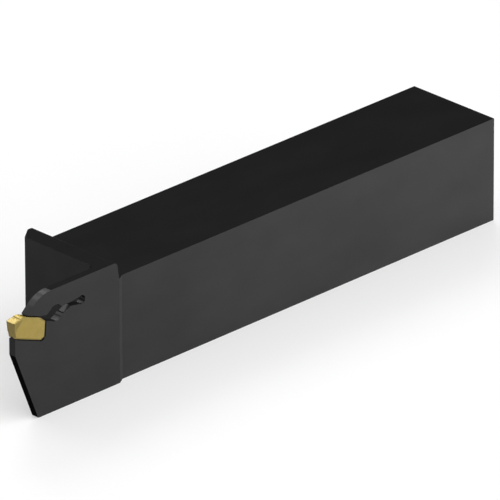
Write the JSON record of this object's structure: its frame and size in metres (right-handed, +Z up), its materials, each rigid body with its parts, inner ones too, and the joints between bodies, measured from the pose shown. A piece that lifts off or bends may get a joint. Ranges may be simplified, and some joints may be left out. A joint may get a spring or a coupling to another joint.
{
  "type": "turning tool holder",
  "caption": "Square-shank turning tool holder whose thin forward blade has a slotted spring jaw that grips a tilted parting and grooving insert.",
  "frame": {"origin": "middle of the bounding box's footprint, on the plane that the base rests on", "axes": "+X along the shank towards the cutting edge, +Y towards the side that carries the blade, +Z up"},
  "size_m": [0.15, 0.0264, 0.0292],
  "materials": {
    "black_steel": "satin black oxide",
    "coated_carbide": "satin gold-coloured coating"
  },
  "bodies": {
    "root": {"holder": "black_steel", "insert": "coated_carbide"}
  },
  "joints": []
}
